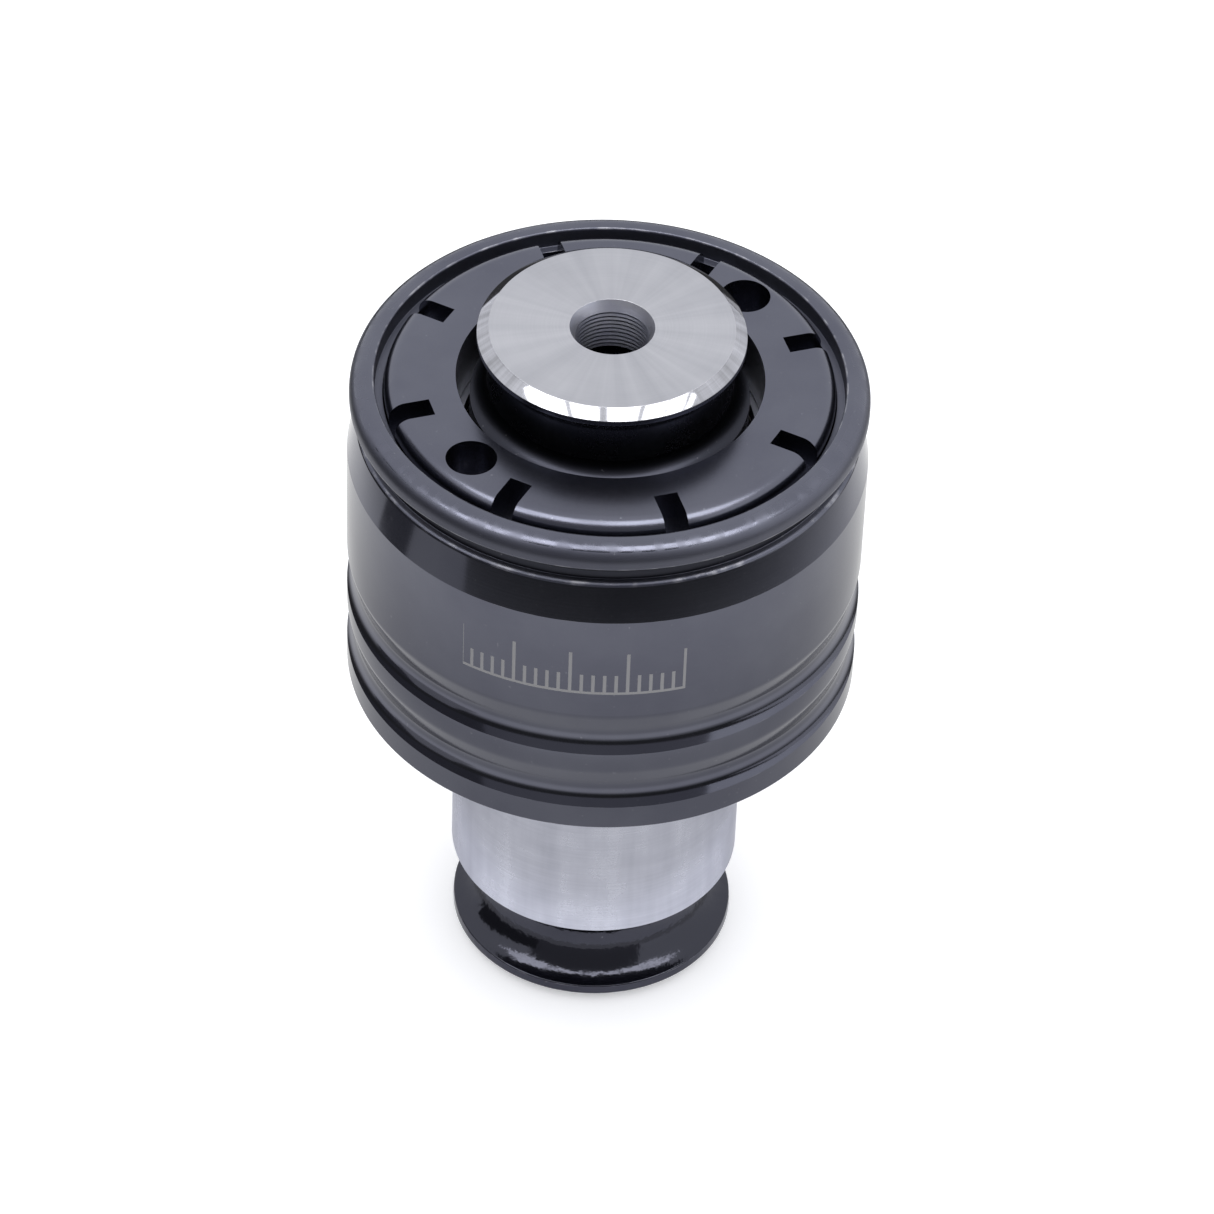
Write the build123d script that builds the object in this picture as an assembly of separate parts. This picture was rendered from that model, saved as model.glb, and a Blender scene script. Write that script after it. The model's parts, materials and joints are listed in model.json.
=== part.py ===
from build123d import *
import math
import os

# Quick change tapping collet with a torque clutch, for taps with a 4.5 mm shank.
# All sizes in millimetres. +Z runs from the shank end to the tap end, and
# z = 0 is the end face of the shank.

# ---- outside: shank and housing --------------------------------------------
SHANK_R = 9.5
END_FLANGE_R = 9.35
END_FLANGE_TOP_R = 9.3
END_FLANGE_TOP = 1.45
END_FLANGE_WIDEST_Z = 0.85
END_FACE_R = 8.5
END_CHAMFER = 0.25
GROOVE_TOP = 6.95
GROOVE_FLOOR_R = 7.2
GROOVE_FLOOR_Z = 4.15
DRIVE_SLOT_W = 6.0
DRIVE_SLOT_DEPTH = 2.0
DRIVE_SLOT_Z = 17.5

HOUSING_R = 16.5
HOUSING_Z = 23.4
HOUSING_TOP = 46.75
HOUSING_EDGE = 0.1
GRIP_GROOVES = ((25.2, 28.5), (29.8, 33.1))
GRIP_GROOVE_DEPTH = 0.5
GRIP_FLOOR_RISE = 1.4
CONE_Z = 41.0
CONE_TOP_Z = 43.7
CONE_TOP_R = 15.95
SEAM_R = 15.5
SEAM_Z = 43.8
SEAM_TOP_Z = 44.45
LIP_FOOT_R = 16.0
LIP_FOOT_Z = 44.85
LIP_R = 16.37
LIP_Z = 45.2
LIP_EDGE_R = 1.05
MOUTH_R = 14.8
MOUTH_Z = 45.55

# ---- inside bores -----------------------------------------------------------
WALL_TOP = 26.0
REGISTER_R = 9.9
CHAMBER_R = 13.9
THREAD_R = 14.25
THREAD_Z = 42.3
SHANK_FLANGE_R = 13.88
SHANK_FLANGE_TOP = 28.5
BUSH_BORE_R = 6.6
BUSH_BORE_Z = 12.5
THROUGH_R = 3.0
DOWEL_R = 1.0
DOWEL_PITCH_R = 11.7
DOWEL_COUNT = 3
DOWEL_TURN = 30.0
DOWEL_Z = 24.2

# ---- thrust bearing ---------------------------------------------------------
RACE_IN_R = 9.2
RACE_OUT_R = 13.6
RACE_T = 0.8
THRUST_BALL_R = 1.2
THRUST_PITCH_R = 11.4
THRUST_COUNT = 16
THRUST_BALL_Z = 30.3
CAGE_Z = 29.9
CAGE_T = 0.8

# ---- spindle ----------------------------------------------------------------
TAIL_R = 5.5
TAIL_Z = 13.5
FLANGE_R = 13.2
FLANGE_Z = 32.1
FLANGE_TOP = 35.1
NOSE_R = 5.3
NOSE_NECK_R = 4.75
NOSE_STEP_Z = 39.5
NOSE_TOP = 45.2
TAP_R = 2.25
TAP_BORE_Z = 30.0
SQUARE = 3.4
SQUARE_Z = 24.0

# ---- torque clutch ----------------------------------------------------------
CLUTCH_BALL_R = 1.75
CLUTCH_PITCH_R = 11.0
CLUTCH_COUNT = 12
DETENT_DEPTH = 0.6
RING_IN_R = 9.2
RING_OUT_R = 13.8
RING_Z = 35.7
RING_TOP = 39.2
PIN_R = 1.0
PIN_PITCH_R = 13.7
PIN_COUNT = 3
PIN_TURN = 15.0
PIN_Z = 35.35
PIN_TOP = 39.15
DISC_T = 0.5
DISC_CONE = 0.35
DISC_IN_R = 9.3
DISC_OUT_R = 13.6
WASHER_T = 0.8

# ---- adjusting nut ----------------------------------------------------------
NUT_R = 14.2
NUT_BORE_R = 9.7
NUT_TOP = 46.9
NUT_EDGE_R = 1.0
NUT_BORE_EDGE = 0.15
NUT_SLOT_COUNT = 8
NUT_SLOT_W = 1.5
NUT_SLOT_DEPTH = 2.0
NUT_SLOT_IN_R = 11.6
NUT_SLOT_TURN = 18.3
SPANNER_HOLE_R = 1.6
SPANNER_PITCH_R = 11.8
SPANNER_TURN = 44.8
SPANNER_DEPTH = 3.0

# ---- release collar and tap lock --------------------------------------------
COLLAR_TOP = 50.9
HEAD_FLAT_R = 7.7
HEAD_R = 8.44
HEAD_Z = 50.36
HEAD_BAND = 0.35
NECK_R = 7.75
NECK_TOP_Z = 49.0
NECK_LOW_Z = 46.6
RIM_R = 8.8
RIM_Z = 45.45
SKIRT_Z = 38.4
COLLAR_BORE_R = 2.3
COLLAR_SINK_R = 2.67
COLLAR_SINK_DEPTH = 0.75
HEAD_UNDER_Z = 47.4
LOCK_BALL_R = 1.75
LOCK_BALL_Z = 42.6
LOCK_BALL_GAP = 0.01
LOCK_COUNT = 3
LOCK_TURN = 90.0
LOCK_SLOPE = 0.2
CONE_START_Z = 41.0
CONE_END_Z = 45.4
UPPER_LAND_Z = 46.5
SNAP_Z = 38.85
SNAP_T = 0.55
SNAP_IN_R = 4.85
SNAP_OUT_R = 5.9
SNAP_GAP_DEG = 40.0
SPRING_POCKET_IN_R = 6.8
SPRING_POCKET_OUT_R = 8.0
SPRING_POCKET_TOP = 41.3
SPRING_R = 7.4
SPRING_WIRE_R = 0.33
SPRING_TURNS = 4.0

# ---- fits -------------------------------------------------------------------
RUN = 0.02

BALL_CUP_R = CLUTCH_BALL_R + RUN
LOCK_BALL_AT_R = TAP_R + LOCK_BALL_GAP + LOCK_BALL_R
LOCK_CONE_R = LOCK_BALL_AT_R + (LOCK_BALL_R + RUN) * math.hypot(1, LOCK_SLOPE)
CLUTCH_BALL_Z = FLANGE_TOP - DETENT_DEPTH + CLUTCH_BALL_R


def revolved(edges):
    """Solid of revolution from a closed outline drawn in (r, z)."""
    face = make_face(Plane.XZ * edges)
    return revolve(face, Axis.Z)


def turned(*points):
    """Solid of revolution from straight (r, z) corners."""
    return revolved(Polyline(*points, close=True))


def tube(inner, outer, low, high):
    return turned((inner, low), (outer, low), (outer, high), (inner, high))


def rod(radius, low, high, x=0.0, y=0.0):
    return Pos(x, y, (low + high) / 2) * Cylinder(radius, high - low)


def ball(radius, pitch, z):
    return Pos(pitch, 0, z) * Sphere(radius)


def around(count, shape, start=0.0):
    """The same shape repeated at equal steps around Z."""
    step = 360.0 / count
    return [Rot(0, 0, start + i * step) * shape for i in range(count)]


def ring_groove(pitch, z, radius):
    """Toroidal tool that cuts a ball track."""
    return Pos(0, 0, z) * Torus(pitch, radius)


# ---- fixed parts ------------------------------------------------------------

def grip_groove(low, high):
    """Two arcs that meet at the groove's deepest line, the lower one steeper."""
    floor = (HOUSING_R - GRIP_GROOVE_DEPTH, low + GRIP_FLOOR_RISE)
    lower = TangentArc(floor, (HOUSING_R, low), tangent=(0, -1))
    upper = TangentArc(floor, (HOUSING_R, high), tangent=(0, 1))
    return [lower, upper]


def housing_outline():
    """Outer profile from the bottom edge up over the grip grooves and the lip."""
    edges = []
    at = (HOUSING_R, HOUSING_Z + HOUSING_EDGE)
    edges.append(Line((HOUSING_R - HOUSING_EDGE, HOUSING_Z), at))
    for low, high in GRIP_GROOVES:
        edges.append(Line(at, (HOUSING_R, low)))
        edges += grip_groove(low, high)
        at = (HOUSING_R, high)
    lip_edge = (LIP_R, HOUSING_TOP - LIP_EDGE_R)
    edges.append(Polyline(
        at,
        (HOUSING_R, CONE_Z),
        (CONE_TOP_R, CONE_TOP_Z),
        (SEAM_R, SEAM_Z),
        (SEAM_R, SEAM_TOP_Z),
        (LIP_FOOT_R, LIP_FOOT_Z),
        (LIP_R, LIP_Z),
        lip_edge,
    ))
    edges.append(TangentArc(lip_edge, (LIP_R - LIP_EDGE_R, HOUSING_TOP), tangent=(0, 1)))
    return edges


def clutch_housing():
    outline = housing_outline()
    inside = Polyline(
        (LIP_R - LIP_EDGE_R, HOUSING_TOP),
        (MOUTH_R, HOUSING_TOP),
        (MOUTH_R, MOUTH_Z),
        (THREAD_R, MOUTH_Z),
        (THREAD_R, THREAD_Z),
        (CHAMBER_R, THREAD_Z),
        (CHAMBER_R, WALL_TOP),
        (REGISTER_R, WALL_TOP),
        (REGISTER_R, HOUSING_Z),
        (HOUSING_R - HOUSING_EDGE, HOUSING_Z),
    )
    body = revolved(Curve() + outline + inside)
    for groove in around(PIN_COUNT, rod(PIN_R, PIN_Z, THREAD_Z, PIN_PITCH_R), PIN_TURN):
        body -= groove
    for hole in around(DOWEL_COUNT, rod(DOWEL_R, DOWEL_Z, WALL_TOP, DOWEL_PITCH_R), DOWEL_TURN):
        body -= hole
    return body


def drive_shank():
    groove_floor = (GROOVE_FLOOR_R, GROOVE_FLOOR_Z)
    rim = (END_FLANGE_R, END_FLANGE_WIDEST_Z)
    groove_edge = (END_FLANGE_TOP_R, END_FLANGE_TOP)
    outline = [
        Line((THROUGH_R + END_CHAMFER, 0), (END_FACE_R, 0)),
        Line((END_FACE_R, 0), rim),
        Line(rim, groove_edge),
        ThreePointArc(groove_edge, groove_floor, (SHANK_R, GROOVE_TOP)),
    ]
    rest = Polyline(
        (SHANK_R, GROOVE_TOP),
        (SHANK_R, HOUSING_Z),
        (REGISTER_R, HOUSING_Z),
        (REGISTER_R, WALL_TOP),
        (SHANK_FLANGE_R, WALL_TOP),
        (SHANK_FLANGE_R, SHANK_FLANGE_TOP),
        (BUSH_BORE_R, SHANK_FLANGE_TOP),
        (BUSH_BORE_R, BUSH_BORE_Z),
        (THROUGH_R, BUSH_BORE_Z),
        (THROUGH_R, END_CHAMFER),
        (THROUGH_R + END_CHAMFER, 0),
    )
    body = revolved(Curve() + outline + rest)
    slot_z = (DRIVE_SLOT_Z + HOUSING_Z) / 2
    slot = Pos(SHANK_R, 0, slot_z) * Box(2 * DRIVE_SLOT_DEPTH, DRIVE_SLOT_W, HOUSING_Z - DRIVE_SLOT_Z)
    for cut in around(2, slot):
        body -= cut
    dowel = rod(DOWEL_R, WALL_TOP, SHANK_FLANGE_TOP, DOWEL_PITCH_R)
    for hole in around(DOWEL_COUNT, dowel, DOWEL_TURN):
        body -= hole
    return body


def spindle_bush():
    return tube(TAIL_R + RUN, BUSH_BORE_R, BUSH_BORE_Z + 0.5, SHANK_FLANGE_TOP - 0.5)


def shank_dowel_pins():
    pin = rod(DOWEL_R, DOWEL_Z, SHANK_FLANGE_TOP - 0.1, DOWEL_PITCH_R)
    return Compound(around(DOWEL_COUNT, pin, DOWEL_TURN))


def torque_pins():
    pin = rod(PIN_R, PIN_Z, PIN_TOP, PIN_PITCH_R)
    return Compound(around(PIN_COUNT, pin, PIN_TURN))


# ---- thrust bearing ---------------------------------------------------------

def thrust_race_lower():
    race = tube(RACE_IN_R, RACE_OUT_R, SHANK_FLANGE_TOP, SHANK_FLANGE_TOP + RACE_T)
    return race - ring_groove(THRUST_PITCH_R, THRUST_BALL_Z, THRUST_BALL_R + RUN)


def thrust_race_upper():
    race = tube(RACE_IN_R, RACE_OUT_R, FLANGE_Z - RACE_T, FLANGE_Z)
    return race - ring_groove(THRUST_PITCH_R, THRUST_BALL_Z, THRUST_BALL_R + RUN)


def thrust_bearing_balls():
    return Compound(around(THRUST_COUNT, ball(THRUST_BALL_R, THRUST_PITCH_R, THRUST_BALL_Z)))


def thrust_bearing_cage():
    cage = tube(RACE_IN_R + 0.4, RACE_OUT_R - 0.4, CAGE_Z, CAGE_Z + CAGE_T)
    pocket = rod(THRUST_BALL_R + RUN, CAGE_Z - 1, CAGE_Z + CAGE_T + 1, THRUST_PITCH_R)
    for cut in around(THRUST_COUNT, pocket):
        cage -= cut
    return cage


# ---- spindle and clutch -----------------------------------------------------

def tap_spindle():
    body = turned(
        (0, TAIL_Z),
        (TAIL_R - 0.4, TAIL_Z),
        (TAIL_R, TAIL_Z + 0.4),
        (TAIL_R, FLANGE_Z),
        (FLANGE_R, FLANGE_Z),
        (FLANGE_R, FLANGE_TOP),
        (NOSE_NECK_R, FLANGE_TOP),
        (NOSE_NECK_R, NOSE_STEP_Z),
        (NOSE_R, NOSE_STEP_Z),
        (NOSE_R, NOSE_TOP - 0.3),
        (NOSE_R - 0.3, NOSE_TOP),
        (0, NOSE_TOP),
    )
    body -= rod(TAP_R, TAP_BORE_Z, NOSE_TOP)
    body -= Pos(0, 0, (SQUARE_Z + TAP_BORE_Z) / 2) * Box(SQUARE, SQUARE, TAP_BORE_Z - SQUARE_Z)
    body -= Pos(0, 0, NOSE_TOP - 0.1) * Cone(TAP_R, TAP_R + 0.2, 0.2)
    detent = ball(BALL_CUP_R, CLUTCH_PITCH_R, CLUTCH_BALL_Z)
    for cut in around(CLUTCH_COUNT, detent):
        body -= cut
    seat_r = LOCK_BALL_R + RUN
    reach = NOSE_R + 1 - LOCK_BALL_AT_R
    seat = Pos(LOCK_BALL_AT_R + reach / 2, 0, LOCK_BALL_Z) * Rot(0, 90, 0) * Cylinder(seat_r, reach)
    seat += ball(seat_r, LOCK_BALL_AT_R, LOCK_BALL_Z)
    for cut in around(LOCK_COUNT, seat, LOCK_TURN):
        body -= cut
    return body


def clutch_balls():
    return Compound(around(CLUTCH_COUNT, ball(CLUTCH_BALL_R, CLUTCH_PITCH_R, CLUTCH_BALL_Z)))


def pressure_ring():
    ring = tube(RING_IN_R, RING_OUT_R, RING_Z, RING_TOP)
    cup = ball(BALL_CUP_R, CLUTCH_PITCH_R, CLUTCH_BALL_Z)
    cup += rod(BALL_CUP_R, RING_Z - 0.5, CLUTCH_BALL_Z, CLUTCH_PITCH_R)
    for cut in around(CLUTCH_COUNT, cup):
        ring -= cut
    keyway = rod(PIN_R + RUN, RING_Z - 1, RING_TOP + 1, PIN_PITCH_R)
    for groove in around(PIN_COUNT, keyway, PIN_TURN):
        ring -= groove
    return ring


def disc_spring(bottom, cone_up):
    """Coned washer; cone_up puts the inner edge above the outer edge."""
    inner = bottom + (DISC_CONE if cone_up else 0)
    outer = bottom + (0 if cone_up else DISC_CONE)
    return turned(
        (DISC_IN_R, inner),
        (DISC_OUT_R, outer),
        (DISC_OUT_R, outer + DISC_T),
        (DISC_IN_R, inner + DISC_T),
    )


def disc_springs():
    """Two nested pairs, set edge to edge in series."""
    turn = RING_TOP + 2 * DISC_T + DISC_CONE
    return [
        disc_spring(RING_TOP, True),
        disc_spring(RING_TOP + DISC_T, True),
        disc_spring(turn, False),
        disc_spring(turn + DISC_T, False),
    ]


WASHER_Z = RING_TOP + 4 * DISC_T + 2 * DISC_CONE


def thrust_washer():
    return tube(DISC_IN_R, DISC_OUT_R, WASHER_Z, WASHER_Z + WASHER_T)


def adjusting_nut():
    bottom = WASHER_Z + WASHER_T
    edge_foot = (NUT_R, NUT_TOP - NUT_EDGE_R)
    edge_top = (NUT_R - NUT_EDGE_R, NUT_TOP)
    outline = [
        Polyline((NUT_BORE_R, bottom), (NUT_R, bottom), edge_foot),
        TangentArc(edge_foot, edge_top, tangent=(0, 1)),
    ]
    bore = Polyline(
        edge_top,
        (NUT_BORE_R + NUT_BORE_EDGE, NUT_TOP),
        (NUT_BORE_R, NUT_TOP - NUT_BORE_EDGE),
        (NUT_BORE_R, bottom),
    )
    nut = revolved(Curve() + outline + bore)
    length = NUT_R + 1 - NUT_SLOT_IN_R
    slot_z = NUT_TOP - NUT_SLOT_DEPTH / 2 + 0.5
    slot = Pos(NUT_SLOT_IN_R + length / 2, 0, slot_z) * Box(length, NUT_SLOT_W, NUT_SLOT_DEPTH + 1)
    for cut in around(NUT_SLOT_COUNT, slot, NUT_SLOT_TURN):
        nut -= cut
    hole = rod(SPANNER_HOLE_R, NUT_TOP - SPANNER_DEPTH, NUT_TOP + 1, SPANNER_PITCH_R)
    for cut in around(2, hole, SPANNER_TURN):
        nut -= cut
    return nut


# ---- release collar and tap lock --------------------------------------------

def cone_radius(z):
    """Inner radius of the collar's locking cone at height z."""
    return LOCK_CONE_R + LOCK_SLOPE * (z - LOCK_BALL_Z)


def release_collar():
    land = NOSE_R + RUN
    neck_low = (NECK_R, NECK_LOW_Z)
    neck_high = (NECK_R, NECK_TOP_Z)
    head_foot = (HEAD_R, HEAD_Z - HEAD_BAND)
    outline = [
        Line((COLLAR_SINK_R, COLLAR_TOP), (HEAD_FLAT_R, COLLAR_TOP)),
        Line((HEAD_FLAT_R, COLLAR_TOP), (HEAD_R, HEAD_Z)),
        Line((HEAD_R, HEAD_Z), head_foot),
        TangentArc(neck_high, head_foot, tangent=(0, 1)),
        Line(neck_high, neck_low),
        TangentArc(neck_low, (RIM_R, RIM_Z), tangent=(0, -1)),
    ]
    inside = Polyline(
        (RIM_R, RIM_Z),
        (RIM_R, SKIRT_Z),
        (SPRING_POCKET_OUT_R, SKIRT_Z),
        (SPRING_POCKET_OUT_R, SPRING_POCKET_TOP),
        (SPRING_POCKET_IN_R, SPRING_POCKET_TOP),
        (SPRING_POCKET_IN_R, SKIRT_Z),
        (NOSE_R + 0.1, SKIRT_Z),
        (NOSE_R + 0.1, SNAP_Z),
        (SNAP_OUT_R, SNAP_Z),
        (SNAP_OUT_R, SNAP_Z + SNAP_T),
        (land, SNAP_Z + SNAP_T),
        (land, CONE_START_Z),
        (cone_radius(CONE_START_Z), CONE_START_Z),
        (cone_radius(CONE_END_Z), CONE_END_Z),
        (land, UPPER_LAND_Z),
        (land, HEAD_UNDER_Z),
        (COLLAR_BORE_R, HEAD_UNDER_Z),
        (COLLAR_BORE_R, COLLAR_TOP - COLLAR_SINK_DEPTH),
        (COLLAR_SINK_R, COLLAR_TOP),
    )
    return revolved(Curve() + outline + inside)


def collar_snap_ring():
    ring = tube(SNAP_IN_R, SNAP_OUT_R, SNAP_Z, SNAP_Z + SNAP_T)
    half = math.radians(SNAP_GAP_DEG / 2)
    gap = 2 * SNAP_OUT_R * math.sin(half)
    cut = Pos(SNAP_OUT_R, 0, SNAP_Z) * Box(SNAP_OUT_R, gap, 4 * SNAP_T)
    return ring - cut


def collar_spring():
    low = FLANGE_TOP + SPRING_WIRE_R
    height = SPRING_POCKET_TOP - SPRING_WIRE_R - low
    path = Pos(0, 0, low) * Helix(height / SPRING_TURNS, height, SPRING_R)
    wire = Plane(origin=path @ 0, z_dir=path % 0) * Circle(SPRING_WIRE_R)
    return sweep(wire, path=path)


def lock_ball(index):
    turn = LOCK_TURN + index * 360 / LOCK_COUNT
    return Rot(0, 0, turn) * ball(LOCK_BALL_R, LOCK_BALL_AT_R, LOCK_BALL_Z)


def build():
    parts = {
        "clutch_housing": clutch_housing(),
        "drive_shank": drive_shank(),
        "spindle_bush": spindle_bush(),
        "shank_dowel_pins": shank_dowel_pins(),
        "torque_pins": torque_pins(),
        "thrust_race_lower": thrust_race_lower(),
        "thrust_bearing_balls": thrust_bearing_balls(),
        "thrust_bearing_cage": thrust_bearing_cage(),
        "thrust_race_upper": thrust_race_upper(),
        "tap_spindle": tap_spindle(),
        "clutch_balls": clutch_balls(),
        "pressure_ring": pressure_ring(),
        "thrust_washer": thrust_washer(),
        "adjusting_nut": adjusting_nut(),
        "release_collar": release_collar(),
        "collar_snap_ring": collar_snap_ring(),
        "collar_spring": collar_spring(),
    }
    for index, disc in enumerate(disc_springs(), start=1):
        parts[f"disc_spring_{index}"] = disc
    for index in range(LOCK_COUNT):
        parts[f"lock_ball_{index + 1}"] = lock_ball(index)
    return parts


os.makedirs("parts", exist_ok=True)
for name, shape in build().items():
    export_step(shape, f"parts/{name}.step")
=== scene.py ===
"""Looks of a quick change tapping collet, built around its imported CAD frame.

Lengths are in millimetres in the outlines and in metres in Blender. The four outer pieces
are turned again with rounded edges; every other piece is the CAD node with a better material.
"""
import json
import math

import bmesh
import bpy
from mathutils import Matrix, Vector


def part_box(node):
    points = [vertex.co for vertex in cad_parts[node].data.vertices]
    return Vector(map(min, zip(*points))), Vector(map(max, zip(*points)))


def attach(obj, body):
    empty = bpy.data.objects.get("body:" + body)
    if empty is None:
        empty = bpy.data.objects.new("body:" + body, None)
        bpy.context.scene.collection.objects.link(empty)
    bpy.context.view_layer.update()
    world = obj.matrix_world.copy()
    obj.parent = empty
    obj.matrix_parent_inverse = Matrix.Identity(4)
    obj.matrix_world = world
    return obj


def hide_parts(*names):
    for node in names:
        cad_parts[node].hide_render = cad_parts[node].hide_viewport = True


MM = 0.001
FAR = math.inf

# ---- camera and room: metres and degrees, but millimetres for the lens -------
LENS = 180.0
SENSOR = 36.0
CAMERA_DISTANCE = 0.3933
CAMERA_ELEVATION = 42.58
CAMERA_ROLL = 2.19
CAMERA_TARGET = (0.00033, 0.0, 0.02723)

WHITE = (1, 1, 1, 1)
PALE = (0.93, 0.93, 0.94, 1.0)
DIM = (0.33, 0.33, 0.355, 1.0)
DARK = (0.13, 0.13, 0.145, 1.0)
SKY = (0.97, 0.98, 1.0, 1)
SKY_GLOW = 1.25

FLOOR_SIZE = 6.0
FLOOR_GLOW = 0.3
POOL_START = 0.018
POOL_SPAN = 0.154
POOL_OUTER = 0.9
POOL_HEIGHT = 0.0008
POOL_SIDES = 96
POOL_GLOW = 1.15

# Each lamp's place across the room, and its width.
LAMPS = (
    (-0.44, 0.06), (-0.3625, 0.07), (-0.27, 0.10), (-0.12, 0.14),
    (0.07, 0.155), (0.2325, 0.115), (0.355, 0.10), (0.45, 0.04),
)
LAMP_DEPTH = 0.28
LAMP_Y = -0.14
LAMP_HEIGHT = 0.55
LAMP_GLOW = 6.0

# ---- fineness of the meshes --------------------------------------------------
SEGMENTS = 288
STEPS = 5
FINE_STEPS = 12
WEAR_RADIUS = 0.4
SIDE_SHARE = 0.98
NEARLY_STRAIGHT = math.radians(88)
SHARP_ANGLE = math.radians(32)

# ---- sizes of the turned parts: mm and degrees, with round things by radius --
GRIP_GROOVES = ((25.2, 28.55), (29.8, 33.2))
GRIP_GROOVE_DEPTH = 0.46
GRIP_FLOOR_RISE = 1.4
GRIP_FLANK_STEPS = 16
GRIP_EASE = 0.2
CONE_BOTTOM = 41.0
SEAM_RADIUS = 15.5
LIP_RADIUS = 16.37
MOUTH_RADIUS = 14.8
MOUTH_DEPTH = 1.2
THREAD_RADIUS = 14.25
THREAD_BOTTOM = 42.3
CHAMBER_RADIUS = 13.9
CHAMBER_FLOOR = 26.0
REGISTER_BORE = 9.91

BALL_GROOVE_ARC = ((9.3, 1.45), (7.2, 4.15), (9.5, 6.95))
SHANK_RADIUS = 9.5
REGISTER_RADIUS = 9.9
FLANGE_RADIUS = 13.88
FLANGE_TOP = 28.5
BUSH_SEAT = 6.6
BUSH_SEAT_FLOOR = 12.5
THROUGH_BORE = 3.0
DRIVE_SLOT_DEPTH = 4.0
DRIVE_SLOT_WIDTH = 6.0
DRIVE_SLOT_BOTTOM = 17.5

NUT_BORE = 9.7
NUT_RADIUS = 14.2
NUT_SLOT = (3.6, 1.5, 3.0)
NUT_SLOT_RADIUS = 13.4
NUT_SLOT_DROP = 0.5
NUT_SLOT_ANGLE = 18.3
SPANNER_HOLE = 1.6
SPANNER_HOLE_DEPTH = 3
SPANNER_CIRCLE = 11.8
SPANNER_ANGLE = 44.8

WAIST_RADIUS = 7.75
HEAD_RADIUS = 8.44
BARREL_RADIUS = 8.8
COLLAR_BOTTOM = 38.4
POCKET_OUTER = 8.0
POCKET_INNER = 6.8
POCKET_TOP = 41.3
COLLAR_ENTRY = 5.4
SNAP_GROOVE = 5.9
SPINDLE_BORE = 5.32
SPINDLE_BORE_TOP = 47.4
TAP_ENTRY = 2.3
TAP_ENTRY_CHAMFER = 0.75
BORE_RING_PITCH = 0.32
BORE_RING_DEPTH = 0.06

# ---- zones with their own finish, or with painted shade: inner and outer radius, bottom and top, mm --
LIP_EDGE = (15.3, FAR, 46.45, FAR)
LIP_SIDE = (15.3, FAR, 45.5, 46.45)
LIP_INNER_WALL = (-FAR, 14.9, 45.5, FAR)
LEDGE_EDGE = (15.3, FAR, 43.6, 43.82)
# The seam, the nut's bore wall and the collar's flare get painted shade.
SEAM = (15.4, 15.9, 43.82, 44.9)
BLACKENED_END = (3.2, FAR, -FAR, 6.95)
NUT_BORE_WALL = (-FAR, 9.75, -FAR, FAR)
HEAD_FACE = (-FAR, FAR, 50.88, FAR)
HEAD_EDGE = (7, FAR, 50.3, 50.88)
ENTRY_WALL = (-FAR, 2.66, 47.35, FAR)
FLARE = (7.7, FAR, 45.3, 46.6)


# ---- mesh helpers ------------------------------------------------------------

def arc_through(start, middle, end, steps):
    """Points of the (r, z) arc through three points, ends included."""
    (ax, ay), (bx, by), (cx, cy) = start, middle, end
    d = 2 * (ax * (by - cy) + bx * (cy - ay) + cx * (ay - by))
    a2, b2, c2 = ax * ax + ay * ay, bx * bx + by * by, cx * cx + cy * cy
    ux = (a2 * (by - cy) + b2 * (cy - ay) + c2 * (ay - by)) / d
    uy = (a2 * (cx - bx) + b2 * (ax - cx) + c2 * (bx - ax)) / d
    radius = math.hypot(ax - ux, ay - uy)
    first = math.atan2(ay - uy, ax - ux)
    mid = (math.atan2(by - uy, bx - ux) - first + math.pi) % math.tau - math.pi
    last = (math.atan2(cy - uy, cx - ux) - first) % math.tau
    if mid < 0:
        last -= math.tau
    points = []
    for i in range(steps + 1):
        angle = first + last * i / steps
        points.append((ux + radius * math.cos(angle), uy + radius * math.sin(angle)))
    return points


def upright_arc(start, end, steps):
    """Points of the (r, z) arc that leaves start parallel to the axis and ends at end."""
    out, rise = end[0] - start[0], end[1] - start[1]
    radius = (out * out + rise * rise) / (2 * out)
    turn = math.asin(abs(rise) / radius)
    points = []
    for i in range(steps + 1):
        angle = turn * i / steps
        along = math.copysign(radius * math.sin(angle), rise)
        points.append((start[0] + radius * (1 - math.cos(angle)), start[1] + along))
    return points


def corners(outline):
    """Corners of a closed (r, z, fillet) outline: place, both sides, half angle, wanted cut."""
    found = []
    for i, (r, z, fillet) in enumerate(outline):
        here = Vector((r, z))
        back = Vector(outline[i - 1][:2]) - here
        ahead = Vector(outline[(i + 1) % len(outline)][:2]) - here
        half = back.angle(ahead) / 2
        cut = 0.0 if half > NEARLY_STRAIGHT else fillet / math.tan(half)
        found.append((here, back, ahead, half, cut))
    return found


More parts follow.
